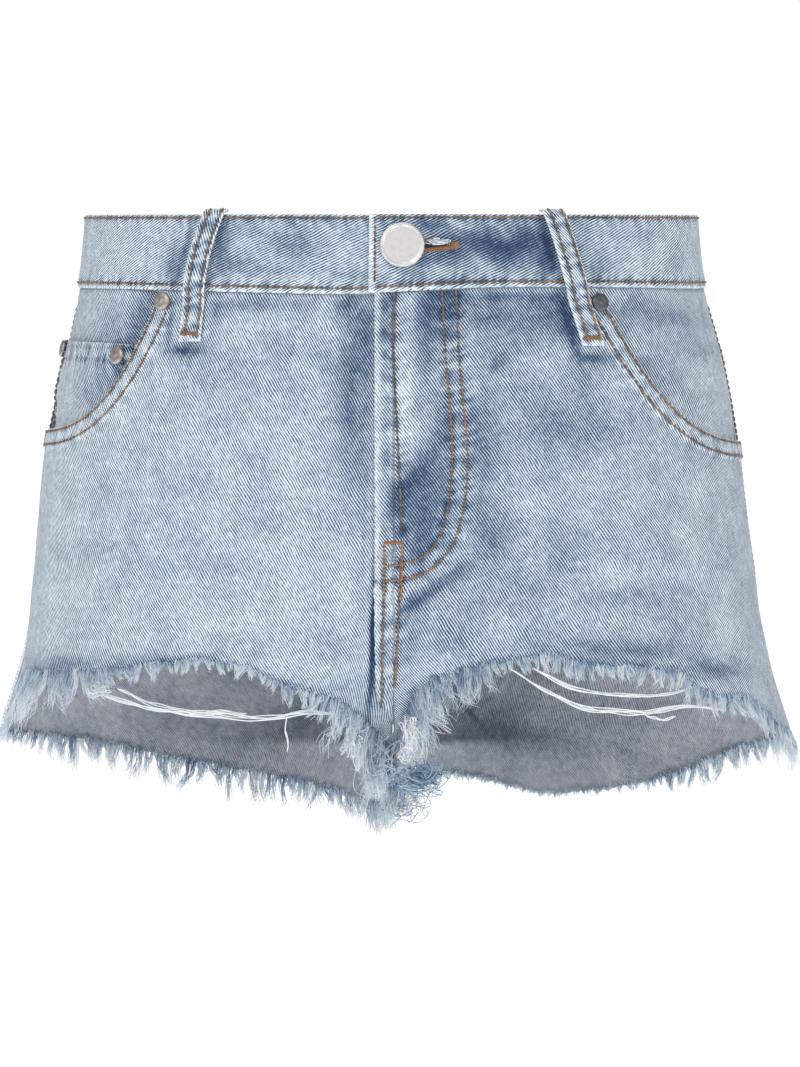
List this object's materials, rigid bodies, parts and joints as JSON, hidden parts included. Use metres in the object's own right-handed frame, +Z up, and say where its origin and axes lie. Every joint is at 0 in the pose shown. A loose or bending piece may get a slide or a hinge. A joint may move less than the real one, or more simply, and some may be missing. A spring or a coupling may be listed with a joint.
{
  "type": "cut-off denim shorts, filled out as worn",
  "caption": "Low-rise denim shorts with a lapped fly, scoop and patch pockets, belt loops, side slits and raw frayed hems, open and hollow as worn.",
  "frame": {"origin": "middle of the waist opening, level with the waistband's top edge at the centre front, where the wearer's waist holds the shorts up", "axes": "+Z up, the front faces -Y, +X is the wearer's left"},
  "size_m": [0.384, 0.2354, 0.3066],
  "materials": {
    "denim_front": "stonewashed light blue twill, worn white at the edges",
    "denim_back": "stonewashed light blue twill",
    "denim_band": "stonewashed blue twill, patchy and darker",
    "denim_pocket": "stonewashed light blue twill",
    "frayed_cotton": "loose white and pale blue cotton threads",
    "button_metal": "pale satin metal",
    "rivet_metal": "aged satin metal"
  },
  "bodies": {
    "root": {"waistband": "denim_band", "front_right": "denim_front", "front_left": "denim_front", "pocket_facing_right": "denim_pocket", "pocket_facing_left": "denim_pocket", "coin_pocket": "denim_pocket", "yoke_right": "denim_back", "yoke_left": "denim_back", "back_right": "denim_back", "back_left": "denim_back", "back_pocket_right": "denim_pocket", "back_pocket_left": "denim_pocket", "belt_loop_front_right": "denim_band", "belt_loop_front_left": "denim_band", "belt_loop_back_right": "denim_band", "belt_loop_back_left": "denim_band", "belt_loop_back_centre": "denim_band", "button": "button_metal", "rivet_pocket_right": "rivet_metal", "rivet_pocket_left": "rivet_metal", "rivet_coin_inner": "rivet_metal", "rivet_coin_outer": "rivet_metal", "frayed_hem_front_right": "frayed_cotton", "frayed_hem_front_left": "frayed_cotton", "frayed_hem_back_right": "frayed_cotton", "frayed_hem_back_left": "frayed_cotton"}
  },
  "joints": []
}
